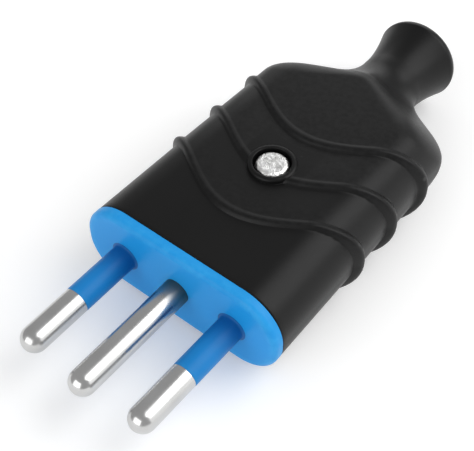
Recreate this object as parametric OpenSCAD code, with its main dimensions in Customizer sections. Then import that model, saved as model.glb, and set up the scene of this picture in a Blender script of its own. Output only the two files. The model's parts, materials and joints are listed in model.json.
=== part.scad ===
// Rewireable in-line power plug: three round pins in a row, a moulded contact carrier
// and a ribbed rubber boot that a single screw holds on the carrier.
// Lengths are counted along Y from the front face of the plate, heights from the pins' plane,
// and the whole plug is then set down with its underside at Z = 0.

/* [Pins] */
// Diameter of a pin
pin_d = 4; // [3.6:0.1:4.8]
// Distance between neighbouring pins
pin_pitch = 9.5; // [9:0.1:10]
// Length of the two live pins in front of the plate
live_pin_len = 19.5; // [17:0.1:21]
// Length of the earth pin in front of the plate
earth_pin_len = 20.3; // [17.5:0.1:23]
// Length of the insulating sleeve on a live pin
sleeve_len = 9.7; // [7:0.1:11]
// Diameter of a pin's neck inside the sleeve and the plate
core_d = 3; // [2.4:0.1:3.2]

/* [Terminals] */
// Diameter of the terminal barrel behind a pin
barrel_d = 6; // [5.6:0.1:6.4]
// Length of the terminal barrel
barrel_len = 9; // [8:0.1:10]
// Diameter of the wire hole in a barrel
wire_bore_d = 2.8; // [2.2:0.1:3.2]
// Depth of the wire hole
wire_bore_depth = 7; // [6:0.1:7.8]
// Thread diameter of a terminal screw
terminal_screw_d = 2.5; // [2:0.1:3]
// Head diameter of a terminal screw
terminal_head_d = 4; // [3.4:0.1:4.2]
// Head height of a terminal screw
terminal_head_h = 1.2; // [1:0.1:1.25]

/* [Front plate] */
// Width of the plate and of the boot's mouth
plate_w = 33.5; // [32.5:0.1:38]
// Height of the plate and of the boot's mouth
plate_h = 14; // [13.8:0.1:17]
// Corner radius of the plate, seen from the front
plate_corner_r = 6.5; // [4:0.1:6.8]
// How far the plate stands out of the boot
plate_rim = 1.75; // [1.2:0.05:3]
// Rounding of the plate's front edge
plate_edge_r = 0.9; // [0.3:0.05:1.1]
// Length of the spigot that fills the boot's mouth
spigot_len = 4; // [3:0.1:6]

/* [Boot] */
// Wall of the boot over the cavity
boot_wall = 2.2; // [1.8:0.05:2.3]
// Corner radius of the cavity
cavity_corner_r = 3.2; // [2:0.1:4]
// Narrowing of each side for each millimetre towards the rear
side_taper = 0.02; // [0:0.002:0.03]
// Length from the plate's face to the point where the flat faces run out between the shoulders
shoulder_point = 44.8; // [43.5:0.1:48]
// Angle of the shoulders, seen from above, to a line square across the plug
shoulder_angle = 23.1; // [18:0.1:28]
// Angle at which the shoulders fall along the plug
shoulder_fall = 43.7; // [38:0.1:48]
// Rounding between a flat face and a shoulder
shoulder_edge = 1.2; // [0.6:0.1:2]
// Rounding between a side and a shoulder
shoulder_corner = 4.1; // [2:0.1:6]
// Thickness of the rubber behind the cavity, up to the shoulders' point
rear_wall = 8.4; // [7:0.1:9.5]
// Fillet between the shoulders and the neck
neck_fillet = 3.5; // [2:0.1:4.5]
// Radius of the neck at its waist
neck_waist_r = 5.3; // [4.9:0.05:6]
// Radius of the flared end of the neck
neck_end_r = 6.85; // [6.2:0.05:8]
// Length of the neck behind the shoulders' point
neck_len = 16.9; // [15:0.1:22]
// Length of the neck's flare before its rounded end
flare_len = 6.5; // [4:0.1:7.5]
// Rounding of the neck's end
neck_lip_r = 1.2; // [0.6:0.05:2]
// Diameter of the cable inlet
inlet_d = 7.5; // [6:0.1:8.2]
// Break of the mouth's front edge
mouth_edge = 0.3; // [0.1:0.05:0.5]

/* [Ribs] */
// Number of chevron ribs
rib_count = 3; // [2:1:3]
// Place of the first rib's tip on the upper face
rib_start = 11; // [9:0.1:12]
// Distance from rib to rib
rib_pitch = 8.45; // [7:0.05:8.8]
// How far a rib sweeps back from its tip to the side
rib_sweep = 8.6; // [6:0.1:10]
// Length of each flank of a rib on the sides
rib_flank = 1.25; // [0.8:0.05:1.5]
// Height of a rib on the sides
rib_side_h = 0.95; // [0.4:0.05:1.2]
// Height of the step that a rib makes on the flat faces
rib_step_h = 0.55; // [0.2:0.05:0.7]
// What is left of that step at the next rib
rib_step_left = 0.25; // [0.1:0.05:0.4]
// Share of the side's bead that a rib keeps on the flat faces
rib_bead_top = 0.1; // [0:0.05:0.4]

/* [Retaining screw] */
// Place of the screw behind the plate's face
screw_y = 21; // [20:0.1:22]
// Thread diameter
screw_d = 3; // [2.5:0.1:3.5]
// Head diameter
screw_head_d = 5; // [4.6:0.1:5.4]
// Head height
screw_head_h = 1.7; // [1.4:0.05:2]
// Radius of the raised ring around the head
boss_r = 3.55; // [3.3:0.05:4.6]
// Height of that ring over the flat face of the plate
boss_h = 1.05; // [0.9:0.05:1.5]
// Rounding of the ring's rim
boss_edge_r = 0.5; // [0.2:0.05:0.6]
// How far the head lies below the ring's rim
screw_sink = 0.2; // [0:0.05:0.4]
// Width across the flats of the captive nut
nut_af = 5.5; // [5:0.1:6]
// Height of the nut
nut_h = 2.4; // [2:0.1:2.6]

/* [Cord clamp] */
// Distance from the clamp back to the rear end of the tray
clamp_from_end = 4.4; // [3.4:0.1:5.2]
// Width of the clamp bar along the cable
clamp_w = 5.4; // [4.6:0.1:6]
// Thickness of the clamp bar
clamp_t = 1.4; // [1:0.1:1.6]
// Distance between the clamp's screws
clamp_pitch = 17; // [16:0.1:18]
// Height of the clamp bar's ears over the pins' plane
clamp_seat_z = 0.5; // [0:0.1:0.8]
// Thread diameter of a clamp screw
clamp_screw_d = 2.5; // [2:0.1:2.8]
// Head diameter of a clamp screw
clamp_head_d = 4.4; // [3.8:0.1:4.8]
// Head height of a clamp screw
clamp_head_h = 1.3; // [1:0.1:1.5]
// Length of a clamp screw's thread below its head
clamp_screw_len = 4.4; // [3.6:0.1:4.8]

/* [Carrier] */
// Thickness of the walls between the terminals
divider_t = 1.2; // [0.8:0.1:1.6]
// Clearance of a piece that slides into another
slide_gap = 0.1; // [0.05:0.01:0.15]
// Clearance between touching round pieces
seat_gap = 0.03; // [0.01:0.01:0.05]
// Wall of the pillars around a screw or nut
pillar_wall = 0.9; // [0.7:0.05:1.2]
// Space that the tray leaves in front of the cavity's rear wall
tray_gap = 1; // [0.5:0.1:2]

/* [Hidden] */
$fn = 64;
around = 72;
cut = 1;

half_w = plate_w / 2;
half_h = plate_h / 2;
corner_r = min(plate_corner_r, half_h - 0.05, half_w - 0.05);
plate_rear = plate_rim + spigot_len;
boot_end = shoulder_point + neck_len;
tip_step = mix(rib_step_h, rib_side_h, rib_bead_top) + (rib_count - 1) * mix(rib_step_left, 0, rib_bead_top);
rear_h = half_h + tip_step;

cavity_end = shoulder_point - rear_wall;
cavity_half_w = half_w - boot_wall - side_taper * cavity_end;
cavity_half_h = half_h - boot_wall;

tray_end = cavity_end - tray_gap;
clamp_y = tray_end - clamp_from_end;
tray_half_w = cavity_half_w - slide_gap;
tray_bottom = -cavity_half_h + slide_gap;
tray_top = -barrel_d / 2 - seat_gap;
tray_mid = (tray_bottom + tray_top) / 2;
divider_top = barrel_d / 2;

barrel_mid = plate_rear + barrel_len - wire_bore_depth / 2;
slot_w = 0.7;
slot_depth = 0.6;
boss_top = half_h + boss_h;
screw_seat_z = boss_top - screw_sink - screw_head_h;
nut_r = nut_af / sqrt(3);
nut_pillar_r = nut_r + pillar_wall;
clamp_pillar_r = clamp_screw_d / 2 + pillar_wall;
clamp_arch_r = inlet_d / 2;
underside = rear_h;
middle_y = (boot_end - earth_pin_len) / 2;

function ease(t) = let (c = min(max(t, 0), 1)) c * c * (3 - 2 * c);
function mix(a, b, share) = a + (b - a) * share;
// The smaller or larger of two values, with the crease between them rounded over a width.
function round_over(a, b, width) = let (near = max(width - abs(a - b), 0) / width) near * near * width / 4;
function round_min(a, b, width) = min(a, b) - round_over(a, b, width);
function round_max(a, b, width) = max(a, b) + round_over(a, b, width);

// Radius of the neck: a waist that opens smoothly into the flared end and closes over the lip.
// In front of the shoulders' point it tapers away inside the body.
flare_end = boot_end - neck_lip_r;
flare_start = flare_end - flare_len;
function lip_drop(y) = let (d = max(y - flare_end, 0))
    neck_lip_r - sqrt(max(neck_lip_r * neck_lip_r - d * d, 0));
function neck_r(y) = mix(neck_waist_r, neck_end_r, ease((y - flare_start) / flare_len))
    - lip_drop(y) - max(shoulder_point - y, 0);

// A quarter of the body's outline, from the middle of its top to the middle of its side: a flat, an arc
// and a straight. It gives x, z and the outward direction at share f of the quarter's length.
function quarter(w, h, r, f) = let (
        flat = w - r,
        arc = PI * r / 2,
        s = f * (flat + arc + h - r),
        turn = 90 * min(max((s - flat) / arc, 0), 1)
    ) [
        min(s, flat) + r * sin(turn),
        h - r + r * cos(turn) - max(s - flat - arc, 0),
        sin(turn),
        cos(turn)
    ];

// The whole outline at share u, clockwise from the top, by mirroring the quarter.
function outline(w, h, r, u) = let (
        side = floor(u * 4),
        f = u * 4 - side,
        q = quarter(w, h, r, side % 2 == 0 ? f : 1 - f),
        sx = side < 2 ? 1 : -1,
        sz = (side == 0 || side == 3) ? 1 : -1
    ) [q[0] * sx, q[1] * sz, q[2] * sx, q[3] * sz];

// The shoulders are sloping planes that meet over the axis and at mid height, with both ridges eased.
// This is their distance from the axis at y, in the direction (dx, dz).
top_ridge = 0.1;
side_ridge = 0.15;
function shoulder_reach(y, dx, dz) = (rear_h + tan(shoulder_fall) * (shoulder_point - y))
    / (norm([dz, side_ridge]) + tan(shoulder_fall) * tan(shoulder_angle) * norm([dx, top_ridge]));

// The ribs run round the boot in a wave with two tips forward, above and below.
function sweep(u) = rib_sweep * (1 - cos(720 * u)) / 2;
// Share of the bead that a rib is on the sides; the rest is the low step that it is on the flat faces.
function bead_share(u) = mix(rib_bead_top, 1, ease(((1 - cos(720 * u)) / 2 - 0.6) / 0.4));
// Lift of one rib at distance d behind its crest. A bead falls as it rose; a step falls slowly
// towards the next rib, and the last step keeps its height.
function rib_form(d, s, last) = let (
        flank = rib_flank * mix(0.55, 1, s),
        rise = cos(90 * min(abs(d) / flank, 1)),
        left = last ? rib_step_h : rib_step_left,
        step = d < 0 ? rib_step_h * rise : mix(left, rib_step_h, cos(90 * min(d / rib_pitch, 1)))
    ) mix(step, rib_side_h * rise, s);
function relief(u, y, k = 0) = k == rib_count ? 0
    : rib_form(y - rib_start - k * rib_pitch - sweep(u), bead_share(u), k == rib_count - 1)
        + relief(u, y, k + 1);

// A point of the skin: the ribbed body, cut by the shoulders and joined with the neck.
function skin_point(u, y, inset) = let (
        o = outline(half_w - side_taper * y, half_h, corner_r, u),
        lift = relief(u, y) - inset,
        x = o[0] + o[2] * lift,
        z = o[1] + o[3] * lift,
        reach = norm([x, z]),
        dx = x / reach,
        dz = z / reach,
        body = round_min(reach, shoulder_reach(y, dx, dz), mix(shoulder_edge, shoulder_corner, dx * dx)),
        full = round_max(body, neck_r(y), neck_fillet)
    ) [dx * full, y, dz * full];

// Rings of the skin as [y at the tip, share of the sweep, inset].
rib_places = [-1, -0.68, -0.36, 0, 0.36, 0.68, 1];
ribs_end = rib_start + (rib_count - 1) * rib_pitch + rib_sweep + rib_flank;
shoulder_rings = 18;
shoulder_from = ribs_end + 0.5;
shoulder_to = shoulder_point + rear_h;
neck_rings = 6;
lip_rings = 3;
rings = concat(
    [[plate_rim, 0, mouth_edge], [plate_rim + mouth_edge, 0, 0]],
    [for (k = [0:rib_count - 1], p = rib_places) [rib_start + k * rib_pitch + p * rib_flank, 1, 0]],
    [for (i = [0:shoulder_rings]) [mix(shoulder_from, shoulder_to, i / shoulder_rings), 0, 0]],
    [for (i = [1:neck_rings]) [mix(shoulder_to, flare_end, i / neck_rings), 0, 0]],
    [for (i = [1:lip_rings]) [flare_end + neck_lip_r * sin(80 * i / lip_rings), 0, 0]],
    [[boot_end, 0, 0]]
);

// Ring outlines joined by triangles, closed at each end by a fan about the axis.
module boot_skin() {
    last = len(rings) - 1;
    front_mid = len(rings) * around;
    rear_mid = front_mid + 1;
    outlines = [for (g = rings, i = [0:around - 1]) let (u = i / around)
        skin_point(u, g[0] + g[1] * sweep(u), g[2])];
    points = concat(outlines, [[0, rings[0][0], 0], [0, rings[last][0], 0]]);
    sides = [for (g = [0:last - 1], i = [0:around - 1]) let (
            a = g * around + i,
            b = g * around + (i + 1) % around,
            c = b + around,
            d = a + around
        ) each [[a, d, c], [a, c, b]]];
    front = [for (i = [0:around - 1]) [front_mid, i, (i + 1) % around]];
    rear = [for (i = [0:around - 1]) [rear_mid, last * around + (i + 1) % around, last * around + i]];
    polyhedron(points = points, faces = concat(front, sides, rear));
}

module set_down() {
    translate([0, -middle_y, underside]) children();
}

module rod_y(y, length, d) {
    translate([0, y, 0]) rotate([-90, 0, 0]) cylinder(h = length, d = d);
}

module rounded_rect(w, h, r) {
    square([w - 2 * r, h], center = true);
    square([w, h - 2 * r], center = true);
    for (x = [-1, 1], y = [-1, 1]) translate([x * (w / 2 - r), y * (h / 2 - r)]) circle(r);
}

module bar_y(y, length, w, h, r) {
    translate([0, y, 0]) rotate([-90, 0, 0]) linear_extrude(length) rounded_rect(w, h, r);
}

module block(x0, x1, y0, y1, z0, z1) {
    translate([x0, y0, z0]) cube([x1 - x0, y1 - y0, z1 - z0]);
}

// A ring or disc with a rounded upper rim.
module rounded_disc(r, h, edge) {
    rotate_extrude() {
        square([r, h - edge]);
        square([r - edge, h]);
        intersection() {
            translate([r - edge, h - edge]) circle(edge);
            square([r, h]);
        }
    }
}

module rubber_boot() {
    color([0.11, 0.11, 0.12]) set_down() difference() {
        union() {
            boot_skin();
            translate([0, screw_y, screw_seat_z]) rounded_disc(boss_r, boss_top - screw_seat_z, boss_edge_r);
        }
        bar_y(plate_rim - cut, cavity_end - plate_rim + cut, 2 * cavity_half_w, 2 * cavity_half_h,
            cavity_corner_r);
        rod_y(cavity_end - cut, boot_end - cavity_end + 2 * cut, inlet_d);
        translate([0, screw_y, 0]) cylinder(h = boss_top, d = screw_d + 4 * slide_gap);
        translate([0, screw_y, screw_seat_z]) cylinder(h = boss_top, d = screw_head_d + 6 * slide_gap);
    }
}

// The front plate: a rounded outline whose front edge is rounded too.
module front_plate() {
    hull() for (x = [-1, 1], z = [-1, 1])
        translate([x * (half_w - corner_r), plate_rim, z * (half_h - corner_r)])
            rotate([90, 0, 0]) rounded_disc(corner_r, plate_rim, plate_edge_r, $fn = 48);
}

module tray() {
    floor_half_w = tray_half_w - cavity_corner_r;
    block(-floor_half_w, floor_half_w, plate_rear - cut, tray_end, tray_bottom, tray_top);
    for (x = [-1, 1]) translate([x * pin_pitch / 2 - divider_t / 2, 0, 0])
        block(0, divider_t, plate_rear - cut, plate_rear + barrel_len, tray_bottom, divider_top);
    translate([0, screw_y, tray_bottom])
        cylinder(h = cavity_half_h - slide_gap - tray_bottom, r = nut_pillar_r);
    for (x = [-1, 1]) translate([x * clamp_pitch / 2, clamp_y, tray_mid])
        cylinder(h = clamp_seat_z - tray_mid, r = clamp_pillar_r);
}

module contact_carrier() {
    color([0.18, 0.56, 0.85]) set_down() difference() {
        union() {
            front_plate();
            bar_y(plate_rim / 2, spigot_len + plate_rim / 2, 2 * tray_half_w, 2 * (cavity_half_h - slide_gap),
                cavity_corner_r - slide_gap);
            tray();
            for (x = [-1, 1]) translate([x * pin_pitch, 0, 0])
                rod_y(-sleeve_len, sleeve_len + plate_rim, pin_d);
        }
        for (x = [-1, 0, 1]) translate([x * pin_pitch, 0, 0])
            rod_y(-sleeve_len - cut, sleeve_len + plate_rear + 2 * cut, core_d + 2 * seat_gap);
        translate([0, screw_y, tray_bottom - cut]) cylinder(h = nut_h + cut, r = nut_r + seat_gap, $fn = 6);
        translate([0, screw_y, 0]) cylinder(h = 4 * half_h, d = screw_d + 2 * slide_gap, center = true);
        for (x = [-1, 1]) translate([x * clamp_pitch / 2, clamp_y, clamp_seat_z - clamp_screw_len])
            cylinder(h = 2 * clamp_screw_len, d = clamp_screw_d + 2 * seat_gap);
    }
}

// A turned pin: round tip, thinner neck that the moulding grips, and a drilled terminal barrel behind it.
module pin(length, neck_start) {
    difference() {
        union() {
            translate([0, pin_d / 2 - length, 0]) sphere(d = pin_d);
            rod_y(pin_d / 2 - length, length - pin_d / 2 + neck_start, pin_d);
            rod_y(neck_start - cut, plate_rear - neck_start + 2 * cut, core_d);
            rod_y(plate_rear, barrel_len, barrel_d);
        }
        rod_y(plate_rear + barrel_len - wire_bore_depth, wire_bore_depth + cut, wire_bore_d);
        translate([0, barrel_mid, 0]) cylinder(h = barrel_d, d = terminal_screw_d + 2 * seat_gap);
    }
}

module live_pin(side) {
    color([0.76, 0.76, 0.77]) set_down() translate([side * pin_pitch, 0, 0]) pin(live_pin_len, -sleeve_len);
}

module line_pin() {
    live_pin(-1);
}

module neutral_pin() {
    live_pin(1);
}

module earth_pin() {
    color([0.76, 0.76, 0.77]) set_down() pin(earth_pin_len, 0);
}

// A slotted screw that stands on its head's underside at z = 0.
module slotted_screw(d, length, head_d, head_h) {
    difference() {
        union() {
            translate([0, 0, -length]) cylinder(h = length + head_h / 2, d = d);
            cylinder(h = head_h, d = head_d);
        }
        translate([-head_d, -slot_w / 2, head_h - slot_depth]) cube([2 * head_d, slot_w, cut]);
    }
}

module terminal_screw(place) {
    color([0.72, 0.72, 0.72]) set_down() translate([place * pin_pitch, barrel_mid, barrel_d / 2 + seat_gap])
        slotted_screw(terminal_screw_d, barrel_d / 2, terminal_head_d, terminal_head_h);
}

module line_terminal_screw() {
    terminal_screw(-1);
}

module neutral_terminal_screw() {
    terminal_screw(1);
}

module earth_terminal_screw() {
    terminal_screw(0);
}

// A pan head with a cross recess, on a thread that reaches through the nut.
module retaining_screw() {
    recess_l = screw_head_d * 0.56;
    recess_w = screw_head_d * 0.16;
    recess_depth = screw_head_h * 0.5;
    color([0.8, 0.8, 0.8]) set_down() translate([0, screw_y, screw_seat_z]) difference() {
        union() {
            rounded_disc(screw_head_d / 2, screw_head_h, screw_head_h * 0.45);
            translate([0, 0, tray_bottom - screw_seat_z])
                cylinder(h = screw_seat_z - tray_bottom + cut / 2, d = screw_d);
        }
        for (turn = [0, 90]) rotate([0, 0, turn])
            translate([-recess_l / 2, -recess_w / 2, screw_head_h - recess_depth])
                cube([recess_l, recess_w, cut]);
    }
}

module retaining_nut() {
    color([0.78, 0.62, 0.3]) set_down() translate([0, screw_y, tray_bottom]) difference() {
        cylinder(h = nut_h - seat_gap, r = nut_r, $fn = 6);
        translate([0, 0, -cut]) cylinder(h = nut_h + 2 * cut, d = screw_d + 2 * seat_gap);
    }
}

// A bar that arches over the cable between two ears.
module cord_clamp() {
    ear = clamp_pitch / 2 + clamp_pillar_r;
    rise = cavity_half_h - slide_gap - clamp_seat_z;
    color([0.18, 0.56, 0.85]) set_down() translate([0, clamp_y, clamp_seat_z + seat_gap]) difference() {
        translate([0, -clamp_w / 2, 0]) {
            block(-ear, ear, 0, clamp_w, 0, clamp_t);
            block(-clamp_arch_r - clamp_t, clamp_arch_r + clamp_t, 0, clamp_w, 0, rise - seat_gap);
        }
        translate([0, -clamp_w / 2 - cut, -cut])
            block(-clamp_arch_r, clamp_arch_r, 0, clamp_w + 2 * cut, 0, rise - clamp_t + cut - seat_gap);
        for (x = [-1, 1]) translate([x * clamp_pitch / 2, 0, -cut])
            cylinder(h = clamp_t + 2 * cut, d = clamp_screw_d + 2 * slide_gap);
    }
}

module cord_clamp_screw(side) {
    color([0.72, 0.72, 0.72]) set_down()
        translate([side * clamp_pitch / 2, clamp_y, clamp_seat_z + clamp_t + 2 * seat_gap])
            slotted_screw(clamp_screw_d, clamp_screw_len, clamp_head_d, clamp_head_h);
}

module cord_clamp_screw_left() {
    cord_clamp_screw(-1);
}

module cord_clamp_screw_right() {
    cord_clamp_screw(1);
}

rubber_boot();
contact_carrier();
line_pin();
neutral_pin();
earth_pin();
line_terminal_screw();
neutral_terminal_screw();
earth_terminal_screw();
retaining_screw();
retaining_nut();
cord_clamp();
cord_clamp_screw_left();
cord_clamp_screw_right();
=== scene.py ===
import json
import math

import bpy
import numpy as np
from mathutils import Matrix, Vector


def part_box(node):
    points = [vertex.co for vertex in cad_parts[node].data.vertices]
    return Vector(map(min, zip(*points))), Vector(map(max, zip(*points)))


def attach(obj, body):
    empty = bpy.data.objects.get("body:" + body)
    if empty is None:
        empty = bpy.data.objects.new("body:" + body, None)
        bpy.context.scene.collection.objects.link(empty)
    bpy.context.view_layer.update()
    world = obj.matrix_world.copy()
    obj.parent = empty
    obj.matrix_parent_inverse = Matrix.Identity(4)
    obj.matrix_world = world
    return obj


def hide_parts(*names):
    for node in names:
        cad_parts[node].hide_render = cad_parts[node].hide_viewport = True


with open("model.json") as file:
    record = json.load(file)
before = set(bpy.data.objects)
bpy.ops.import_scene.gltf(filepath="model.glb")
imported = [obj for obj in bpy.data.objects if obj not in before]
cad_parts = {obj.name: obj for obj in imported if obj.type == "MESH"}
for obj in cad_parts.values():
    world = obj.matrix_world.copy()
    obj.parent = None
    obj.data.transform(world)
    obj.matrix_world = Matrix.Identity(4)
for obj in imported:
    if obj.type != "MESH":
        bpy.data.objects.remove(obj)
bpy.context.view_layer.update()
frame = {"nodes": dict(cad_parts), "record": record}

# Sizes in metres. Places are counted as the maker counts them: y from the front face of the plate
# towards the cable, z from the pins' plane; set_down() then brings a shape into the frame.
mm = 0.001
mounts = {mount["name"]: mount for mount in frame["record"]["mounts"]}
boot_low, boot_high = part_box("rubber_boot")
carrier_low, carrier_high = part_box("contact_carrier")
axis_z = mounts["earth_contact"]["pos_m"][2]
pin_pitch = mounts["neutral_contact"]["pos_m"][0]
pin_r = mounts["earth_contact"]["dims"]["r_mm"] * mm
inlet_r = mounts["cable_inlet"]["dims"]["r_mm"] * mm

# The plate and its two sleeves, with the sleeves' share of the deep blue at both ends: at the tip a deeper
# tone of the thin moulding over the pin, growing towards the root as painted shade where the sleeve meets
# the plate
plate_rim = 1.75 * mm
plate_y = boot_low.y - plate_rim
plate_half_w = carrier_high.x
plate_half_h = 7.0 * mm
plate_corner_r = 6.5 * mm
plate_edge_r = 0.9 * mm
plate_rear_edge = 0.06 * mm
plate_face_inset = 6.4 * mm
sleeve_end = carrier_low.y - plate_y
sleeve_root_r = 0.35 * mm
sleeve_tip_edge = 0.12 * mm
sleeve_shade_len = 6.5 * mm
sleeve_shade_tip = 0.44
sleeve_shade_root = 0.9

# The rest of the carrier
spigot_len = 4.0 * mm
plate_rear = plate_rim + spigot_len
seat_gap = 0.03 * mm
slide_gap = 0.1 * mm
divider_t = 1.2 * mm
clamp_y = 31.0 * mm
clamp_pitch = 17.0 * mm
clamp_seat_z = 0.5 * mm
clamp_pillar_r = 2.15 * mm
clamp_bore_r = 1.28 * mm
nut_pillar_r = 4.1 * mm
moulded_edge = 0.2 * mm
least_corner_r = 0.05 * mm
tray_gap = 1.0 * mm
tray_overlap = 0.5 * mm

# The pins and the terminal barrels behind them
core_r = 1.5 * mm
# The pins turn darker, browner and rougher over this length towards the plate, as painted shade
root_shade_len = 4.5 * mm
barrel_r = 3.0 * mm
barrel_len = 9.0 * mm
barrel_edge = 0.25 * mm
wire_bore_r = 1.4 * mm
wire_bore_depth = 7.0 * mm

# The boot
boot_end = boot_high.y - plate_y
boot_wall = 2.2 * mm
mouth_edge = 0.3 * mm
side_taper = 0.02
shoulder_point = 44.8 * mm
shoulder_lean = math.tan(math.radians(23.1))
shoulder_fall = math.tan(math.radians(43.7))
shoulder_edge = 1.2 * mm
shoulder_corner = 4.1 * mm
top_ridge = 0.1
side_ridge = 0.15
neck_fillet = 3.5 * mm
neck_waist_r = 5.3 * mm
neck_end_r = 6.85 * mm
neck_lip_r = 1.2 * mm
neck_lip_len = 1.5 * mm
flare_len = 7.2 * mm
flare_power = 1.6
flare_end = boot_end - neck_lip_len
flare_start = flare_end - flare_len
inlet_edge = 0.4 * mm
rear_wall = 8.4 * mm
rear_h = axis_z - boot_low.z
cavity_end = shoulder_point - rear_wall
cavity_half_w = plate_half_w - boot_wall - side_taper * cavity_end
cavity_half_h = plate_half_h - boot_wall
cavity_corner_r = 3.2 * mm
tray_bottom = slide_gap - cavity_half_h

# The chevron ribs. A rib is a mix of a step and a bead: on the flat faces it has a share of the bead,
# and past a share of its sweep it turns into the whole bead. The step's flank is a share of the bead's.
# The crests are rubbed, and lightened as a painted highlight, from a height on, over a span.
rib_count = 3
rib_start = 11.0 * mm
rib_pitch = 8.45 * mm
rib_sweep = 8.6 * mm
rib_flank = 1.25 * mm
rib_tail = 1.3 * rib_flank
rib_side_h = 0.949 * mm
rib_step_h = 0.55 * mm
rib_step_left = 0.25 * mm
step_flank_share = 0.55
flat_bead_share = 0.1
bead_from_sweep = 0.6
rubbed_and_highlit_from = 0.55 * rib_step_h
rubbed_and_highlit_span = 0.5 * rib_step_h

# The retaining screw, the cross in its head and the raised ring round it. The cross has sloping walls,
# of which a share lies outside its two bars.
screw_y = 21.0 * mm
screw_r = 1.5 * mm
screw_point_edge = 0.3 * mm
screw_head_r = 2.5 * mm
screw_head_h = 1.7 * mm
screw_head_edge = 0.45 * screw_head_h
screw_pole_r = 0.02 * mm
screw_sink = 0.2 * mm
cross_len = 1.4 * mm
cross_w = 0.4 * mm
cross_depth = 0.85 * mm
cross_slope = 0.16 * mm
cross_outer_share = 0.35
boss_r = 3.55 * mm
boss_edge_r = 0.5 * mm
boss_side_slope = 12.0
boss_skirt_r = boss_r + 0.35 * mm
boss_top = boot_high.z - axis_z
boss_blend = 0.5 * mm
recess_r = screw_head_r + 0.3 * mm
recess_edge = 0.15 * mm
screw_seat_z = boss_top - screw_sink - screw_head_h
shank_hole_r = screw_r + 0.2 * mm

# Tiny pips that the mould leaves on the rear flat, as places (x, y)
pip_places = ((-6.5 * mm, 34.4 * mm), (2.5 * mm, 31.9 * mm))
pip_r = 0.16 * mm
pip_h = 0.09 * mm

# Density of the meshes: points round a piece, and rows along it
boot_around = 240
plate_around = 240
screw_around = 192
turned_around = 128
pillar_around = 64
bar_around = 48
front_rows = 24
rib_rows = 113
rear_rows = 36
shoulder_rows = 65
neck_rows = 31
bore_rows = 12
cavity_end_rows = 8
screw_head_rows = 56
pin_tip_rows = 28
pin_shank_rows = 24
pin_worn_rows = 10
sharp_angle = math.radians(38.0)

# The rectangle of the boot's grid that makes room for the screw: rows, columns to each side, reach along y
hole_rows = 58
hole_columns = 15
hole_reach = 5.2 * mm


# Shapes

def ease(t):
    """Smooth step from 0 to 1: t squared times three minus twice t, with t held between 0 and 1."""
    held = np.clip(t, 0.0, 1.0)
    return held * held * (3.0 - 2.0 * held)


def mix(a, b, share):
    """Value that is a at share 0 and b at share 1."""
    return a + (b - a) * share


def smooth_max(a, b, width):
    """The larger of a and b, plus a quarter of the width times their nearness squared.

    Nearness falls evenly from 1 where they meet to 0 where they are the width apart, so that the crease
    is filled."""
    near = np.maximum(width - np.abs(a - b), 0.0) / width
    return np.maximum(a, b) + near * near * width * 0.25


def smooth_min(a, b, width):
    """The smaller of a and b, with the ridge where they meet rounded in the same way."""
    return -smooth_max(-a, -b, width)


def quarter_length(w, h, r):
    """Length of one quarter of a rounded rectangle: its flat, its arc and its straight."""
    return w - r + np.pi * r / 2.0 + h - r


def outline(w, h, r, u):
    """Rectangle of half sizes w and h with corners of radius r, at share u of its length.

    Counted clockwise from the middle of the top. One quarter is a flat, an arc and a straight, and the
    other three mirror it. Gives x, z and the outward direction."""
    turns = np.mod(u, 1.0) * 4.0
    side = np.floor(turns).astype(int)
    share = np.where(side % 2 == 0, turns - side, 1.0 - (turns - side))
    flat, arc = w - r, np.pi * r / 2.0
    s = share * quarter_length(w, h, r)
    turn = np.clip((s - flat) / arc, 0.0, 1.0) * np.pi / 2.0
    x = np.minimum(s, flat) + r * np.sin(turn)
    z = h - r + r * np.cos(turn) - np.maximum(s - flat - arc, 0.0)
    sx = np.where(side < 2, 1.0, -1.0)
    sz = np.where((side == 0) | (side == 3), 1.0, -1.0)
    return x * sx, z * sz, np.sin(turn) * sx, np.cos(turn) * sz


def rounding(r, count):
    """Quarter circle of radius r as pairs: the way along from an end face, and the inset there.

    At angle t they are r times one minus cosine t, and r times one minus sine t."""
    return [(r * (1.0 - np.cos(t)), r * (1.0 - np.sin(t))) for t in np.linspace(0.0, np.pi / 2.0, count)]


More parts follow.
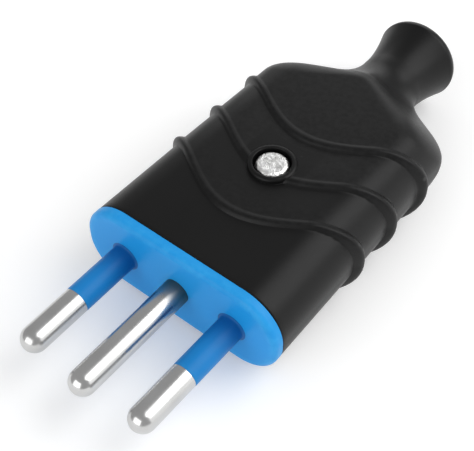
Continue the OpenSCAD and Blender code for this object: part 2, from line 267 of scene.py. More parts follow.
class Shape:
    """Gathers grids of points and the faces between them, and makes one mesh of them."""

    def __init__(self):
        """Starts without points or faces."""
        self.points = []
        self.edge = []
        self.deep_and_painted_shade = []
        self.faces = []
        self.count = 0

    def add(self, grid, edge=0.0, deep_and_painted_shade=0.0):
        """Takes an array of points, with their edge values and their values of deep colour and painted
        shade, and gives back their numbers.
        """
        numbers = self.count + np.arange(grid[..., 0].size).reshape(grid.shape[:-1])
        self.points.append(grid.reshape(-1, 3))
        self.edge.append(np.broadcast_to(edge, numbers.shape).ravel())
        self.deep_and_painted_shade.append(np.broadcast_to(deep_and_painted_shade, numbers.shape).ravel())
        self.count += numbers.size
        return numbers

    def skin(self, numbers, keep=None):
        """Quads between the neighbours of a grid whose columns close round; keep masks the quads."""
        a, b = numbers[:-1], numbers[1:]
        quads = np.stack([a, np.roll(a, -1, axis=1), np.roll(b, -1, axis=1), b], axis=-1)
        chosen = quads.reshape(-1, 4) if keep is None else quads[keep]
        self.faces.extend(chosen.tolist())

    def fan(self, ring, middle, flip=False):
        """Triangles from a closed ring of numbers to one middle point."""
        pole = self.add(np.asarray(middle, float).reshape(1, 3))
        ahead = np.roll(ring, -1)
        order = [ahead, ring] if flip else [ring, ahead]
        triangles = np.stack([*order, np.full_like(ring, pole[0])], axis=-1)
        self.faces.extend(triangles.tolist())

    def closed(self, rows, edge=0.0):
        """Skin over rows of points that close round, with a fan over each end."""
        numbers = self.add(rows, edge)
        self.skin(numbers)
        self.fan(numbers[0], rows[0].mean(axis=0), flip=True)
        self.fan(numbers[-1], rows[-1].mean(axis=0))

    def ring(self, rows, edge=0.0, deep_and_painted_shade=0.0):
        """Skin over rows of points that close round both ways, like the wall of a tube."""
        numbers = self.add(rows, edge, deep_and_painted_shade)
        self.skin(np.concatenate([numbers, numbers[:1]])[::-1])

    def piece(self, name, material):
        """Makes the mesh, set down in the frame, with smooth shading between its sharp edges."""
        points = set_down(np.concatenate(self.points))
        mesh = bpy.data.meshes.new(name)
        mesh.from_pydata(points.tolist(), [], self.faces)
        for title, values in (("edge", self.edge), ("deep_and_painted_shade", self.deep_and_painted_shade)):
            mesh.attributes.new(title, "FLOAT", "POINT")
            mesh.attributes[title].data.foreach_set("value", np.concatenate(values).astype(np.float32))
        mesh.shade_smooth()
        mesh.set_sharp_from_angle(angle=sharp_angle)
        mesh.materials.append(material)
        mesh.update()
        made = bpy.data.objects.new(name, mesh)
        bpy.context.scene.collection.objects.link(made)
        return made


def set_down(points):
    """Moves points from the plug's own counting into the frame."""
    return points + np.array([0.0, plate_y, axis_z])


def lathe_y(profile, x):
    """A profile of (radius, y) pairs carried round an axis along y, through x at height 0."""
    turn = np.linspace(0.0, 2.0 * np.pi, turned_around, endpoint=False)
    r, y = np.asarray(profile, float).T
    across = x + r[:, None] * np.sin(turn)
    along = np.broadcast_to(y[:, None], across.shape)
    return np.stack([across, along, r[:, None] * np.cos(turn)], axis=-1)


def lathe_z(profile, x, y, around):
    """A profile of (radius, z) pairs carried round an upright axis through x, y."""
    turn = np.linspace(0.0, 2.0 * np.pi, around, endpoint=False)
    r, z = np.asarray(profile, float).T
    across = x + r[:, None] * np.sin(turn)
    along = y - r[:, None] * np.cos(turn)
    return np.stack([across, along, np.broadcast_to(z[:, None], across.shape)], axis=-1)


def bar_rows(w, h, r, stations, x=0.0, z=0.0, around=plate_around):
    """A rounded rectangle carried along y: each station is a place y and an inset of the outline."""
    u = np.arange(around) / around
    y, inset = np.asarray(stations, float).T[:, :, None]
    corner = np.maximum(r - inset, least_corner_r)
    px, pz, _, _ = outline(w - inset, h - inset, corner, u)
    return np.stack([x + px, np.broadcast_to(y, px.shape), z + pz], axis=-1)


def eased_ends(y0, y1, edge):
    """Stations of a bar from y0 to y1 whose end edges are rounded by quarter circles."""
    arc = rounding(edge, 4)
    start = [(y0 + along, inset) for along, inset in arc]
    stop = [(y1 - along, inset) for along, inset in arc[::-1]]
    return start + stop


# The boot

def neck_radius(y):
    """A waist that opens like a trumpet, by a power of the way along, and closes over a rounded lip.

    In front of the shoulders' point it tapers away inside the body."""
    over = np.clip((y - flare_end) / neck_lip_len, 0.0, 1.0)
    lip = neck_lip_r * (1.0 - np.sqrt(1.0 - over ** 2))
    opened = np.clip((y - flare_start) / flare_len, 0.0, 1.0) ** flare_power
    return mix(neck_waist_r, neck_end_r, opened) - lip - np.maximum(shoulder_point - y, 0.0)


def body_half_w(y):
    """Half width of the body, which narrows evenly towards the cable."""
    return plate_half_w - side_taper * y


def shoulders(x, y, z):
    """Cuts the body by the sloping shoulders and joins it with the neck, along lines from the axis.

    The shoulders are planes that fall along y and to both sides, so their distance from the axis in a
    direction (dx, dz) is their height over the axis divided by dz plus the side slope times dx. Each of
    these is joined with a small ridge value, as the sides of a right triangle are, which rounds the
    ridges. The body keeps the smaller of its own distance and theirs, and then the larger of that and
    the neck's radius."""
    reach = np.hypot(x, z)
    dx, dz = x / reach, z / reach
    plane = rear_h + shoulder_fall * (shoulder_point - y)
    slope = shoulder_fall * shoulder_lean
    cut = plane / (np.hypot(dz, side_ridge) + slope * np.hypot(dx, top_ridge))
    body = smooth_min(reach, cut, mix(shoulder_edge, shoulder_corner, dx * dx))
    full = smooth_max(body, neck_radius(y), neck_fillet)
    return dx * full, dz * full


def rib_wave(u):
    """How far back a rib has swept at share u round the boot, from 0 at the two tips to 1 at the sides."""
    return (1.0 - np.cos(4.0 * np.pi * u)) / 2.0


def relief(u, y):
    """Lift of the ribs: each rises to its crest by a quarter cosine and is a mix of two forms behind it.

    One is the bead that it is on the sides, which falls as it rose. The other is the low step that it
    is on the flat faces, which falls slowly towards the next rib; the last one keeps its height."""
    wave = rib_wave(u)
    turned = ease((wave - bead_from_sweep) / (1.0 - bead_from_sweep))
    bead_share = mix(flat_bead_share, 1.0, turned)
    flank = rib_flank * mix(step_flank_share, 1.0, bead_share)
    lift = np.zeros(np.broadcast(u, y).shape)
    for k in range(rib_count):
        behind = y - rib_start - k * rib_pitch - rib_sweep * wave
        left = rib_step_h if k == rib_count - 1 else rib_step_left
        rise = np.cos(np.clip(np.abs(behind) / flank, 0.0, 1.0) * np.pi / 2.0)
        sink = np.cos(np.clip(behind / rib_pitch, 0.0, 1.0) * np.pi / 2.0)
        step = np.where(behind < 0.0, rib_step_h * rise, mix(left, rib_step_h, sink))
        lift = lift + mix(step, rib_side_h * rise, bead_share)
    return lift


def boss_height(x, y):
    """Height of the raised ring's rounded disc over the pins' plane, far below the boot outside it."""
    r = np.hypot(x, y - screw_y)
    over = np.clip(r - boss_r + boss_edge_r, 0.0, None)
    drop = boss_edge_r - np.sqrt(np.maximum(boss_edge_r ** 2 - over ** 2, 0.0))
    return boss_top - drop - np.maximum(over - boss_edge_r, 0.0) * boss_side_slope


def pips(x, y):
    """Lift of the mould's pips: a round bump of cosine form at each place."""
    lift = np.zeros(np.broadcast(x, y).shape)
    for px, py in pip_places:
        near = np.clip(np.hypot(x - px, y - py) / pip_r, 0.0, 1.0)
        lift = lift + pip_h * (1.0 + np.cos(np.pi * near)) / 2.0
    return lift


def top_height(x, y):
    """Height of the boot's upper face: flat, plus the ribs, joined smoothly with the raised ring."""
    quarter = quarter_length(body_half_w(y), plate_half_h, plate_corner_r)
    face = plate_half_h + relief(np.abs(x) / quarter / 4.0, y) + pips(x, y)
    return np.minimum(smooth_max(face, boss_height(x, y), boss_blend), boss_top)


def boot_rows():
    """Tip place, share of the rib sweep and inset of each ring of the outer skin, from mouth to lip."""
    front_start = plate_rim + mouth_edge
    first = rib_start - rib_flank
    last = rib_start + (rib_count - 1) * rib_pitch + rib_tail
    rear_end = last + rib_sweep + rib_flank
    shoulder_end = shoulder_point + rear_h
    mouth = [(plate_rim + along, 0.0, inset) for along, inset in rounding(mouth_edge, 5)]
    front = [(mix(front_start, first, t), t, 0.0) for t in np.linspace(0.0, 1.0, front_rows)[1:]]
    ribs = [(y, 1.0, 0.0) for y in np.linspace(first, last, rib_rows)[1:]]
    rear = [(mix(last, rear_end, t), 1.0 - t, 0.0) for t in np.linspace(0.0, 1.0, rear_rows)[1:]]
    shoulder = [(y, 0.0, 0.0) for y in np.linspace(rear_end, shoulder_end, shoulder_rows)[1:]]
    neck = [(y, 0.0, 0.0) for y in np.linspace(shoulder_end, flare_end, neck_rows)[1:]]
    lip = [(boot_end - left, 0.0, 0.0) for _, left in rounding(neck_lip_len, 14)[1:]]
    return np.array(mouth + front + ribs + rear + shoulder + neck + lip)


def rim_loop(block):
    """Numbers round a block of a grid's rows: its first row, one side, its last row and the other side.

    It takes the hole's columns to each side of the grid's first column."""
    across = np.arange(-hole_columns, hole_columns)
    return np.concatenate([
        block[0, across], block[:-1, hole_columns], block[-1, -across], block[:0:-1, -hole_columns]])


def boot_moulding():
    """The whole boot as one closed skin: outside, lip, cable bore, cavity and mouth, with a screw hole.

    The outer skin is outline plus normal times relief, on a grid of rings that follow the ribs. The
    screw hole runs from a rectangle of that grid over the ring and the recess into the cavity."""
    shape = Shape()
    u = np.arange(boot_around) / boot_around
    tip, sweep, inset = boot_rows().T[:, :, None]
    y = tip + sweep * rib_sweep * rib_wave(u)
    half_w = body_half_w(y)
    px, pz, nx, nz = outline(half_w, plate_half_h, plate_corner_r, u)
    lift = relief(u, y) - inset
    x, z = px + nx * lift, pz + nz * lift
    flat_top = (np.abs(px) < half_w - plate_corner_r) & (pz > 0.0) & (inset == 0.0)
    z = np.where(flat_top, top_height(x, y), z)
    x, z = shoulders(x, y, z)
    outside = np.stack([x, y, z], axis=-1)

    bore = [(boot_end - along, inlet_r + out) for along, out in rounding(inlet_edge, 5)]
    bore_start = boot_end - inlet_edge
    bore += [(mix(bore_start, cavity_end, t), inlet_r) for t in np.linspace(0.0, 1.0, bore_rows)[1:]]
    by, br = np.array(bore).T[:, :, None]
    rear_rim = np.hypot(x[-1], z[-1])
    bx, bz = br * x[-1] / rear_rim, br * z[-1] / rear_rim
    inside = np.stack([bx, np.broadcast_to(by, bx.shape), bz], axis=-1)

    hole_start, hole_end = screw_y - hole_reach, screw_y + hole_reach
    cavity_stops = np.concatenate([
        np.linspace(cavity_end, hole_end, cavity_end_rows),
        np.linspace(hole_end, hole_start, hole_rows + 1)[1:],
        np.linspace(hole_start, plate_rim, cavity_end_rows)[1:]])
    cx, cz, _, _ = outline(cavity_half_w, cavity_half_h, cavity_corner_r, u)
    cavity = np.stack(np.broadcast_arrays(cx, cavity_stops[:, None], cz), axis=-1)

    rows = np.concatenate([outside, inside, cavity])
    edge = np.zeros(rows.shape[:2])
    # The crests' edge value: rubbed wear, and a painted highlight along the crests.
    edge[:len(outside)] = ease((lift - rubbed_and_highlit_from) / rubbed_and_highlit_span) * (y < shoulder_point)
    numbers = shape.add(rows, edge)

    outer_start = int(np.argmin(np.abs(tip[:, 0] - hole_start) + (sweep[:, 0] < 1.0)))
    inner_start = len(outside) + len(inside) + cavity_end_rows - 1
    keep = np.ones((len(rows) - 1, boot_around), bool)
    for start in (outer_start, inner_start):
        keep[start:start + hole_rows, np.arange(-hole_columns, hole_columns)] = False
    shape.skin(numbers, keep)
    shape.skin(np.stack([numbers[-1], numbers[0]]))
    outer = rim_loop(numbers[outer_start:outer_start + hole_rows + 1])
    inner = rim_loop(numbers[inner_start:inner_start + hole_rows + 1][::-1])
    screw_hole(shape, rows.reshape(-1, 3), outer, inner)
    return shape


def screw_hole(shape, points, outer, inner):
    """Rings from a loop of the outer skin to the raised ring, down the recess and to a loop of the cavity.

    Every ring has one point for each point of the outer loop, at that point's bearing from the screw."""
    rim, cavity_rim = points[outer, :2], points[inner, :2]
    bearing = np.arctan2(rim[:, 1] - screw_y, rim[:, 0])
    unit = np.stack([np.cos(bearing), np.sin(bearing)], axis=-1)

    def circle(radius):
        """Places at that radius from the screw, one on each bearing."""
        return np.array([0.0, screw_y]) + unit * radius

    def upper(places):
        """Those places on the boot's upper face."""
        return np.concatenate([places, top_height(places[:, :1], places[:, 1:])], axis=-1)

    def level(places, height):
        """Those places at one height."""
        return np.concatenate([places, np.full((len(places), 1), height)], axis=-1)

    skirt, shank = circle(boss_skirt_r), circle(shank_hole_r)
    made = [upper(mix(rim, skirt, t)) for t in np.linspace(0.0, 1.0, 7)[1:-1]]
    made += [upper(circle(r)) for r in np.linspace(boss_skirt_r, recess_r + recess_edge, 26)]
    made += [level(circle(recess_r + out), boss_top - along) for along, out in rounding(recess_edge, 6)[1:]]
    made += [level(circle(recess_r), z) for z in np.linspace(boss_top - recess_edge, screw_seat_z, 6)[1:]]
    made += [level(circle(r), screw_seat_z) for r in np.linspace(recess_r, shank_hole_r, 4)[1:]]
    made += [level(shank, z) for z in np.linspace(screw_seat_z, cavity_half_h, 4)[1:]]
    made += [level(mix(shank, cavity_rim, t), cavity_half_h) for t in np.linspace(0.0, 1.0, 6)[1:-1]]
    between = shape.add(np.stack(made))
    shape.skin(np.concatenate([outer[None], between, inner[None]]))


# The carrier

def carrier_moulding():
    """Plate, spigot, sleeves and tray of the blue moulding, each a closed skin.

    The plate and spigot are rounded outlines carried along y with an inset at each station; a sleeve
    is a turned profile with a small hollow root where it grows out of the plate. Its deep value, a
    deeper blue, grows by a smooth step from its tip to its root: along the sleeve it is the tone of the
    thin moulding over the pin, and towards the root it is painted shade where the sleeve meets the plate."""
    shape = Shape()
    face = [(0.0, inset) for inset in np.linspace(plate_face_inset, plate_edge_r, 9)[:-1]]
    edge = rounding(plate_edge_r, 13)
    wall = [(plate_rim - plate_rear_edge, 0.0), (plate_rim, plate_rear_edge)]
    plate = bar_rows(plate_half_w, plate_half_h, plate_corner_r, face + edge + wall)
    spigot = bar_rows(cavity_half_w - slide_gap, cavity_half_h - slide_gap, cavity_corner_r - slide_gap, [
        (plate_rim, 0.0), (plate_rear - moulded_edge, 0.0), (plate_rear, moulded_edge)])
    worn = np.zeros(len(plate) + len(spigot))
    worn[len(face):len(face) + len(edge)] = 1.0
    shape.closed(np.concatenate([plate, spigot]), worn[:, None])

    bore_r = core_r + seat_gap
    root_y = plate_rim / 2.0
    root = [(pin_r + out, -along) for along, out in rounding(sleeve_root_r, 8)]
    stem = [(pin_r, y) for y in np.linspace(-sleeve_root_r, sleeve_end + sleeve_tip_edge, 16)[1:-1]]
    end = [(pin_r - along, sleeve_end + left) for along, left in rounding(sleeve_tip_edge, 4)]
    profile = [(bore_r, root_y), (pin_r + sleeve_root_r, root_y)] + root + stem + end
    profile += [(bore_r, sleeve_end)]
    worn = np.zeros(len(profile))
    worn[-1 - len(end):-1] = 1.0
    # The deep blue: a deeper tone along the sleeve, and painted shade that grows towards the plate.
    grown = ease(1.0 + np.array(profile)[:, 1] / sleeve_shade_len)
    shade = mix(sleeve_shade_tip, sleeve_shade_root, grown)
    for x in (-pin_pitch, pin_pitch):
        shape.ring(lathe_y(profile, x), worn[:, None], shade[:, None])
    tray(shape)
    return shape


def tray(shape):
    """The tray behind the plate: floor, walls between the terminals, and pillars for the screws."""
    floor_half_w = cavity_half_w - slide_gap - cavity_corner_r
    floor_top = -barrel_r - seat_gap
    floor_middle = (floor_top + tray_bottom) / 2.0
    tray_start = plate_rear - tray_overlap
    shape.closed(bar_rows(floor_half_w, (floor_top - tray_bottom) / 2.0, moulded_edge,
                          eased_ends(tray_start, cavity_end - tray_gap, moulded_edge),
                          z=floor_middle, around=bar_around))
    for x in (-pin_pitch / 2.0, pin_pitch / 2.0):
        shape.closed(bar_rows(divider_t / 2.0, (barrel_r - tray_bottom) / 2.0, moulded_edge,
                              eased_ends(tray_start, plate_rear + barrel_len, moulded_edge),
                              x=x, z=(barrel_r + tray_bottom) / 2.0, around=bar_around))
    pillar(shape, 0.0, screw_y, tray_bottom, cavity_half_h - slide_gap, nut_pillar_r, screw_r + slide_gap)
    for x in (-clamp_pitch / 2.0, clamp_pitch / 2.0):
        pillar(shape, x, clamp_y, floor_middle, clamp_seat_z, clamp_pillar_r, clamp_bore_r)


def pillar(shape, x, y, z0, z1, r, bore_r):
    """An upright tube with a broken upper rim."""
    profile = [(bore_r, z0), (r, z0), (r, z1 - moulded_edge), (r - moulded_edge, z1), (bore_r, z1)]
    shape.ring(lathe_z(profile, x, y, pillar_around)[::-1])


# The metal pieces

def pin_turning(x, length, neck_start):
    """A turned pin: half-sphere tip, straight shank, thin neck in the moulding, and a drilled barrel.

    Its painted shade, a darker, browner and rougher finish, grows by a smooth step towards the plate, where
    the pin meets it, and ends there."""
    rear = plate_rear + barrel_len
    bore_end = rear - wire_bore_depth
    tip = [(pin_r - inset, along - length) for along, inset in rounding(pin_r, pin_tip_rows)[1:]]
    shank = [(pin_r, y) for y in np.linspace(pin_r - length, neck_start, pin_shank_rows)[1:]]
    neck = [(core_r, neck_start), (core_r, plate_rear)]
    barrel = [
        (barrel_r - barrel_edge, plate_rear), (barrel_r, plate_rear + barrel_edge),
        (barrel_r, rear - barrel_edge), (barrel_r - barrel_edge, rear),
        (wire_bore_r + barrel_edge, rear), (wire_bore_r, rear - barrel_edge), (wire_bore_r, bore_end)]
    profile = tip + shank + neck + barrel
    y = np.array(profile)[:, 1]
    # Painted shade: the pin darkens towards the plate, where it meets the moulding.
    root_shade = ease((y + root_shade_len) / root_shade_len) * (y <= 0.0)
    worn = np.zeros(len(profile))
    worn[:pin_worn_rows] = np.linspace(1.0, 0.0, pin_worn_rows)
    shape = Shape()
    numbers = shape.add(lathe_y(profile, x), worn[:, None], root_shade[:, None])
    shape.skin(numbers)
    shape.fan(numbers[0], (x, -length, 0.0), flip=True)
    shape.fan(numbers[-1], (x, bore_end, 0.0))
    return shape


def screw_turning():
    """The retaining screw: a pan head with a cross recess over a plain shank.

    The head is a polar grid whose height is a rounded dome less the depth of the recess, which falls
    by a smooth step inside two crossed bars."""
    flat_r = screw_head_r - screw_head_edge
    dome_low = screw_seat_z + screw_head_h - screw_head_edge
    rim = [screw_head_r - inset for _, inset in rounding(screw_head_edge, 14)[1:]]
    radii = np.concatenate([np.linspace(screw_pole_r, flat_r, screw_head_rows), rim])
    turn = np.linspace(0.0, 2.0 * np.pi, screw_around, endpoint=False)
    x = radii[:, None] * np.sin(turn)
    y = -radii[:, None] * np.cos(turn)
    over = np.clip(radii - flat_r, 0.0, screw_head_edge)[:, None]
    dome = dome_low + np.sqrt(np.maximum(screw_head_edge ** 2 - over ** 2, 0.0))
    bar_x = np.maximum(np.abs(x) - cross_len, np.abs(y) - cross_w)
    bar_y = np.maximum(np.abs(y) - cross_len, np.abs(x) - cross_w)
    inside = -np.minimum(bar_x, bar_y)
    height = dome - cross_depth * ease(inside / cross_slope + cross_outer_share)
    head = np.stack([x, y + screw_y, height], axis=-1)
    under = lathe_z([(screw_head_r, screw_seat_z), (screw_r, screw_seat_z),
                     (screw_r, tray_bottom + screw_point_edge),
                     (screw_r - screw_point_edge, tray_bottom)], 0.0, screw_y, screw_around)
    worn = np.concatenate([np.where(radii > flat_r, 1.0, 0.0), np.zeros(len(under))])
    shape = Shape()
    shape.closed(np.concatenate([head, under])[::-1], worn[::-1, None])
    return shape


# Finishes

def node(tree, kind, **settings):
    """Adds a shader node and sets the properties that are named."""
    made = tree.nodes.new(kind)
    for name, value in settings.items():
        setattr(made, name, value)
    return made


def wire(tree, source, target):
    """Joins an output of one node to an input of another."""
    tree.links.new(source, target)


def scaled_noise(tree, vector, scale, detail=2.0, roughness=0.5):
    """Noise over that vector: scale counts its lumps in one unit of the vector."""
    noise = node(tree, "ShaderNodeTexNoise")
    noise.inputs["Scale"].default_value = scale
    noise.inputs["Detail"].default_value = detail
    noise.inputs["Roughness"].default_value = roughness
    wire(tree, vector, noise.inputs["Vector"])
    return noise.outputs["Fac"]


def span(tree, value, low, high, to_low=0.0, to_high=1.0):
    """Carries a value from one span to another, held at the ends."""
    ranged = node(tree, "ShaderNodeMapRange")
    ranged.inputs["From Min"].default_value = low
    ranged.inputs["From Max"].default_value = high
    ranged.inputs["To Min"].default_value = to_low
    ranged.inputs["To Max"].default_value = to_high
    wire(tree, value, ranged.inputs["Value"])
    return ranged.outputs["Result"]


def sums(tree, operation, a, b):
    """One arithmetic step between two sockets, or a socket and a number."""
    made = node(tree, "ShaderNodeMath", operation=operation)
    for socket, value in zip(made.inputs, (a, b)):
        if isinstance(value, (int, float)):
            socket.default_value = value
        else:
            wire(tree, value, socket)
    return made.outputs["Value"]


def part_of(tree, value, share):
    """A value times a plain share."""
    return sums(tree, "MULTIPLY", value, share)


def blend_colours(tree, share, a, b):
    """Colour a at share 0 and colour b at share 1."""
    made = node(tree, "ShaderNodeMix", data_type="RGBA")
    for name, value in (("A", a), ("B", b)):
        socket = [s for s in made.inputs if s.name == name and s.type == "RGBA"][0]
        if isinstance(value, tuple):
            socket.default_value = (*value, 1.0)
        else:
            wire(tree, value, socket)
    factor = [s for s in made.inputs if s.name == "Factor" and s.type == "VALUE"][0]
    wire(tree, share, factor)
    return [s for s in made.outputs if s.type == "RGBA"][0]


def new_group(name, inputs, outputs):
    """A shader node group with named float and vector sockets; a vector has no value of its own."""
    group = bpy.data.node_groups.new(name, "ShaderNodeTree")
    for kind, sockets in (("INPUT", inputs), ("OUTPUT", outputs)):
        for socket, value in sockets:
            vector = value is None
            made = group.interface.new_socket(
                socket, in_out=kind, socket_type="NodeSocketVector" if vector else "NodeSocketFloat")
            if not vector:
                made.default_value = value
    return group, node(group, "NodeGroupInput"), node(group, "NodeGroupOutput")


def surface_grain_group():
    """Fine grain, slow drift of tone and sparse specks, all as values from 0 to 1."""
    group, given, put = new_group(
        "surface_grain",
        [("Vector", None), ("Grain", 4000.0), ("Drift", 90.0), ("Specks", 700.0)],
        [("Height", 0.0), ("Tone", 0.0), ("Speck", 0.0)])
    fine = node(group, "ShaderNodeTexNoise")
    fine.inputs["Detail"].default_value = 3.0
    coarse = node(group, "ShaderNodeTexNoise")
    coarse.inputs["Detail"].default_value = 4.0
    cells = node(group, "ShaderNodeTexVoronoi")
    for made, scale in ((fine, "Grain"), (coarse, "Drift"), (cells, "Specks")):
        wire(group, given.outputs["Vector"], made.inputs["Vector"])
        wire(group, given.outputs[scale], made.inputs["Scale"])
    chance = node(group, "ShaderNodeSeparateColor")
    wire(group, cells.outputs["Color"], chance.inputs["Color"])
    rare = span(group, chance.outputs["Red"], 0.93, 0.96)
    dot = span(group, cells.outputs["Distance"], 0.08, 0.2, 1.0, 0.0)
    wire(group, fine.outputs["Fac"], put.inputs["Height"])
    wire(group, span(group, coarse.outputs["Fac"], 0.3, 0.7), put.inputs["Tone"])
    wire(group, sums(group, "MULTIPLY", rare, dot), put.inputs["Speck"])
    return group


def edge_wear_group():
    """Rubbed edges: the piece's own edge value, broken up by noise, as a mask from 0 to 1."""
    group, given, put = new_group(
        "edge_wear", [("Vector", None), ("Edge", 0.0), ("Patches", 900.0)], [("Mask", 0.0)])
    noise = node(group, "ShaderNodeTexNoise")
    noise.inputs["Detail"].default_value = 4.0
    wire(group, given.outputs["Vector"], noise.inputs["Vector"])
    wire(group, given.outputs["Patches"], noise.inputs["Scale"])
    patches = span(group, noise.outputs["Fac"], 0.35, 0.65)
    wire(group, sums(group, "MULTIPLY", given.outputs["Edge"], patches), put.inputs["Mask"])
    return group


def fine_lines_group():
    """Lines left by drawing and handling: noise stretched by the scale given for each axis."""
    group, given, put = new_group(
        "fine_lines", [("Vector", None), ("Stretch", None)], [("Height", 0.0), ("Smudge", 0.0)])
    stretched = node(group, "ShaderNodeVectorMath", operation="MULTIPLY")
    wire(group, given.outputs["Vector"], stretched.inputs[0])
    wire(group, given.outputs["Stretch"], stretched.inputs[1])
    lines = scaled_noise(group, stretched.outputs["Vector"], 1.0)
    smudge = scaled_noise(group, given.outputs["Vector"], 260.0, detail=4.0, roughness=0.6)
    wire(group, lines, put.inputs["Height"])
    wire(group, span(group, smudge, 0.35, 0.7), put.inputs["Smudge"])
    return group


GRAIN = surface_grain_group()
WEAR = edge_wear_group()
LINES = fine_lines_group()


def new_material(name):
    """An empty material with its Principled shader, and object coordinates to build on."""
    material = bpy.data.materials.new(name)
    material.use_nodes = True
    tree = material.node_tree
    shader = tree.nodes["Principled BSDF"]
    coords = node(tree, "ShaderNodeTexCoord").outputs["Object"]
    return material, tree, shader, coords


def use_group(tree, group, coords, **values):
    """Places a node group in a material with its own values."""
    made = node(tree, "ShaderNodeGroup")
    made.node_tree = group
    wire(tree, coords, made.inputs["Vector"])
    for name, value in values.items():
        made.inputs[name].default_value = value
    return made


def own_value(tree, name):
    """The piece's own attribute of that name."""
    return node(tree, "ShaderNodeAttribute", attribute_name=name).outputs["Fac"]


def wear_mask(tree, coords, patches):
    """The edge wear group fed with the piece's own edge value; patches counts its lumps in a metre."""
    made = use_group(tree, WEAR, coords, Patches=patches)
    wire(tree, own_value(tree, "edge"), made.inputs["Edge"])
    return made.outputs["Mask"]


def bump(tree, shader, height, depth):
    """Feeds a height, of that depth in metres, to the shader's normal."""
    made = node(tree, "ShaderNodeBump")
    made.inputs["Strength"].default_value = 1.0
    made.inputs["Distance"].default_value = depth
    wire(tree, height, made.inputs["Height"])
    wire(tree, made.outputs["Normal"], shader.inputs["Normal"])


def black_rubber():
    """Matt black rubber: slow drift of tone, fine moulded grain, crests lightened as rubbed wear and as a
    painted highlight, and a little dust.
    """
    darkest, lightest = (0.0034, 0.0034, 0.0035), (0.0048, 0.0048, 0.0049)
    rubbed_and_highlight_grey = (0.012, 0.012, 0.0123)
    dust_grey = (0.09, 0.09, 0.088)
    material, tree, shader, coords = new_material("black_rubber")
    grain = use_group(tree, GRAIN, coords, Grain=5200.0, Drift=70.0, Specks=420.0)
    worn = wear_mask(tree, coords, patches=1300.0)
    body = blend_colours(tree, grain.outputs["Tone"], darkest, lightest)
    # The crests turn grey, as rubbed wear and as a painted highlight.
    rubbed = blend_colours(tree, part_of(tree, worn, 0.5), body, rubbed_and_highlight_grey)
    dusty = blend_colours(tree, part_of(tree, grain.outputs["Speck"], 0.35), rubbed, dust_grey)
    wire(tree, dusty, shader.inputs["Base Color"])
    rough = span(tree, grain.outputs["Height"], 0.3, 0.7, 0.35, 0.43)
    wire(tree, sums(tree, "ADD", rough, part_of(tree, worn, 0.05)), shader.inputs["Roughness"])
    shader.inputs["Specular IOR Level"].default_value = 0.21
    bump(tree, shader, grain.outputs["Height"], depth=0.008 * mm)
    return material


def blue_plastic():
    """Satin blue moulding: faint drift of colour, fine grain, paler edges, and on the sleeves a deeper blue
    that towards their roots is painted shade.
    """
    darkest, lightest = (0.014, 0.3, 0.735), (0.018, 0.32, 0.77)
    pale_blue = (0.05, 0.42, 0.84)
    deep_and_shade_blue = (0.003, 0.09, 0.32)
    material, tree, shader, coords = new_material("blue_plastic")
    grain = use_group(tree, GRAIN, coords, Grain=6500.0, Drift=110.0, Specks=500.0)
    worn = wear_mask(tree, coords, patches=900.0)
    body = blend_colours(tree, grain.outputs["Tone"], darkest, lightest)
    paler = blend_colours(tree, part_of(tree, worn, 0.35), body, pale_blue)
    # Deep blue on the sleeves: their deeper tone, and painted shade towards their roots.
    deepened_and_shaded = blend_colours(tree, own_value(tree, "deep_and_painted_shade"), paler, deep_and_shade_blue)
    wire(tree, deepened_and_shaded, shader.inputs["Base Color"])
    wire(tree, span(tree, grain.outputs["Height"], 0.3, 0.7, 0.34, 0.42), shader.inputs["Roughness"])
    shader.inputs["Specular IOR Level"].default_value = 0.18
    bump(tree, shader, grain.outputs["Height"], depth=0.004 * mm)
    return material


def bright_metal(name, colour, rough, stretch, lines_depth, drift=240.0, low=0.9):
    """Turned or plated metal: fine lines, smudges that dull it, rubbed tips, and a brown, rougher painted
    shade where the piece's own value of deep colour and painted shade is set.

    Its tone drifts between the colour and the low share of it, in lumps counted in a metre."""
    dull = tuple(low * c for c in colour)
    warm = (colour[0], 0.97 * colour[1], 0.92 * colour[2])
    root_shade_brown = (0.21 * colour[0], 0.17 * colour[1], 0.12 * colour[2])
    material, tree, shader, coords = new_material(name)
    lines = use_group(tree, LINES, coords, Stretch=stretch)
    grain = use_group(tree, GRAIN, coords, Grain=3000.0, Drift=drift, Specks=900.0)
    worn = wear_mask(tree, coords, patches=1500.0)
    deep_and_painted_shade = own_value(tree, "deep_and_painted_shade")
    tone = blend_colours(tree, grain.outputs["Tone"], dull, colour)
    rubbed = blend_colours(tree, part_of(tree, worn, 0.3), tone, warm)
    # Painted shade: a brown darkening where the piece's own value says so, at the pins' roots.
    root_shaded = blend_colours(tree, part_of(tree, deep_and_painted_shade, 0.9), rubbed, root_shade_brown)
    wire(tree, root_shaded, shader.inputs["Base Color"])
    shader.inputs["Metallic"].default_value = 1.0
    smudged = span(tree, lines.outputs["Smudge"], 0.0, 1.0, rough, rough + 0.07)
    wire(tree, sums(tree, "ADD", smudged, part_of(tree, deep_and_painted_shade, 0.15)), shader.inputs["Roughness"])
    bump(tree, shader, lines.outputs["Height"], depth=lines_depth)
    return material


RUBBER = black_rubber()
BLUE = blue_plastic()
PIN_PLATE = bright_metal(
    "pin_plate", (0.6, 0.6, 0.597), rough=0.2, stretch=(7000.0, 160.0, 7000.0), lines_depth=0.0011 * mm)
SCREW_PLATE = bright_metal(
    "screw_plate", (0.99, 0.99, 0.985), rough=0.3, stretch=(2100.0, 2100.0, 400.0), lines_depth=0.24 * mm,
    drift=1500.0, low=0.85)
ZINC = bright_metal(
    "zinc_plate", (0.66, 0.67, 0.69), rough=0.3, stretch=(3000.0, 3000.0, 600.0), lines_depth=0.003 * mm)
BRASS = bright_metal(
    "bare_brass", (0.72, 0.52, 0.21), rough=0.28, stretch=(400.0, 400.0, 9000.0), lines_depth=0.002 * mm)


# The pieces

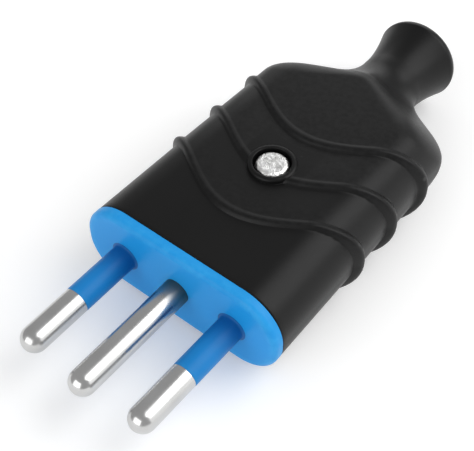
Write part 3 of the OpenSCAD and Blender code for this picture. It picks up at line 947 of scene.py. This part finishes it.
def set_in(shape, name, material, cad_node):
    """Makes a piece, lets it ride on the plug and stand for its CAD node."""
    made = shape.piece(name, material)
    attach(made, "root")
    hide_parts(cad_node)


set_in(boot_moulding(), "boot_moulding", RUBBER, "rubber_boot")
set_in(carrier_moulding(), "carrier_moulding", BLUE, "contact_carrier")
pin_places = (
    ("line_pin", -pin_pitch, sleeve_end),
    ("neutral_pin", pin_pitch, sleeve_end),
    ("earth_pin", 0.0, 0.0))
for pin_name, pin_x, neck_start in pin_places:
    pin_length = plate_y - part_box(pin_name)[0].y
    turned = pin_turning(pin_x, pin_length, neck_start)
    set_in(turned, pin_name + "_turned", PIN_PLATE, pin_name)
set_in(screw_turning(), "retaining_screw_turned", SCREW_PLATE, "retaining_screw")

# Pieces inside the boot that keep their CAD shape and only get a finish
kept_finishes = {
    "line_terminal_screw": ZINC, "neutral_terminal_screw": ZINC, "earth_terminal_screw": ZINC,
    "cord_clamp_screw_left": ZINC, "cord_clamp_screw_right": ZINC,
    "retaining_nut": BRASS, "cord_clamp": BLUE}
for name, material in kept_finishes.items():
    slots = frame["nodes"][name].data.materials
    slots.clear()
    slots.append(material)


# Floor, light and camera

floor_reach = 6.0
floor_glow = 0.22
room_grey = 0.45
lamp_distance = 0.8


def floor():
    """A wide white floor: a flat grid at the height that the plug lies on, a little brighter to the eye."""
    steps = np.linspace(-floor_reach, floor_reach, 9)
    x, y = np.meshgrid(steps, steps)
    points = np.stack([x, y, np.zeros_like(x)], axis=-1).reshape(-1, 3)
    numbers = np.arange(len(points)).reshape(x.shape)
    quads = np.stack([numbers[:-1, :-1], numbers[:-1, 1:], numbers[1:, 1:], numbers[1:, :-1]], axis=-1)
    mesh = bpy.data.meshes.new("floor")
    mesh.from_pydata(points.tolist(), [], quads.reshape(-1, 4).tolist())
    material, tree, shader, coords = new_material("pale_floor")
    tone = span(tree, scaled_noise(tree, coords, 6.0), 0.3, 0.7)
    wire(tree, blend_colours(tree, tone, (0.9, 0.9, 0.9), (0.92, 0.92, 0.92)), shader.inputs["Base Color"])
    shader.inputs["Roughness"].default_value = 0.8
    shader.inputs["Specular IOR Level"].default_value = 0.1
    ray = node(tree, "ShaderNodeLightPath")
    seen = sums(tree, "MAXIMUM", ray.outputs["Is Camera Ray"], ray.outputs["Is Glossy Ray"])
    seen = sums(tree, "MAXIMUM", seen, ray.outputs["Is Transmission Ray"])
    shader.inputs["Emission Color"].default_value = (1.0, 1.0, 1.0, 1.0)
    wire(tree, part_of(tree, seen, floor_glow), shader.inputs["Emission Strength"])
    mesh.materials.append(material)
    made = bpy.data.objects.new("floor", mesh)
    bpy.context.scene.collection.objects.link(made)


def softbox(name, towards, size, radiance):
    """An area light that faces the plug's middle; its power is radiance times pi times its area."""
    lamp = bpy.data.lights.new(name, "AREA")
    lamp.shape = "RECTANGLE"
    lamp.size, lamp.size_y = size
    lamp.energy = radiance * math.pi * size[0] * size[1]
    made = bpy.data.objects.new(name, lamp)
    direction = Vector(towards).normalized()
    made.location = direction * lamp_distance
    made.rotation_euler = direction.to_track_quat("Z", "Y").to_euler()
    bpy.context.scene.collection.objects.link(made)


def studio():
    """A grey room with soft lights: the key high on the right behind the plug, a broad one in front of
    the pins, and two dimmer low ones on the right and behind."""
    world = bpy.data.worlds.new("studio")
    world.use_nodes = True
    background = world.node_tree.nodes["Background"]
    background.inputs["Color"].default_value = (room_grey, room_grey, room_grey, 1.0)
    background.inputs["Strength"].default_value = 1.0
    bpy.context.scene.world = world
    softbox("key_light", towards=(0.51, 0.47, 0.72), size=(0.6, 0.72), radiance=2.6)
    softbox("front_light", towards=(-0.05, -0.91, 0.4), size=(0.75, 0.55), radiance=2.05)
    softbox("right_light", towards=(0.86, 0.42, 0.29), size=(0.6, 0.5), radiance=0.8)
    softbox("back_light", towards=(-0.45, 0.85, 0.3), size=(0.6, 0.4), radiance=1.2)


def camera():
    """The photograph's view: direction, distance and aim, with its focal length in pixels."""
    photo_w = 474.0
    focal_px = 1051.8
    azimuth, elevation = math.radians(38.6), math.radians(50.19)
    distance = 142.98 * mm
    aim = Vector((2.14 * mm, 10.40 * mm + plate_y, 5.66 * mm + axis_z))
    back = Vector((math.sin(azimuth) * math.cos(elevation), -math.cos(azimuth) * math.cos(elevation),
                   math.sin(elevation)))
    right = Vector((math.cos(azimuth), math.sin(azimuth), 0.0))
    up = back.cross(right)
    lens = bpy.data.cameras.new("camera")
    lens.sensor_fit = "HORIZONTAL"
    lens.sensor_width = 36.0
    lens.lens = focal_px / photo_w * lens.sensor_width
    lens.clip_start = 5.0 * mm
    made = bpy.data.objects.new("camera", lens)
    turn = Matrix((right, up, back)).transposed().to_4x4()
    made.matrix_world = Matrix.Translation(aim + back * distance) @ turn
    bpy.context.scene.collection.objects.link(made)
    bpy.context.scene.camera = made


floor()
studio()
camera()
bpy.context.scene.view_settings.view_transform = "Standard"
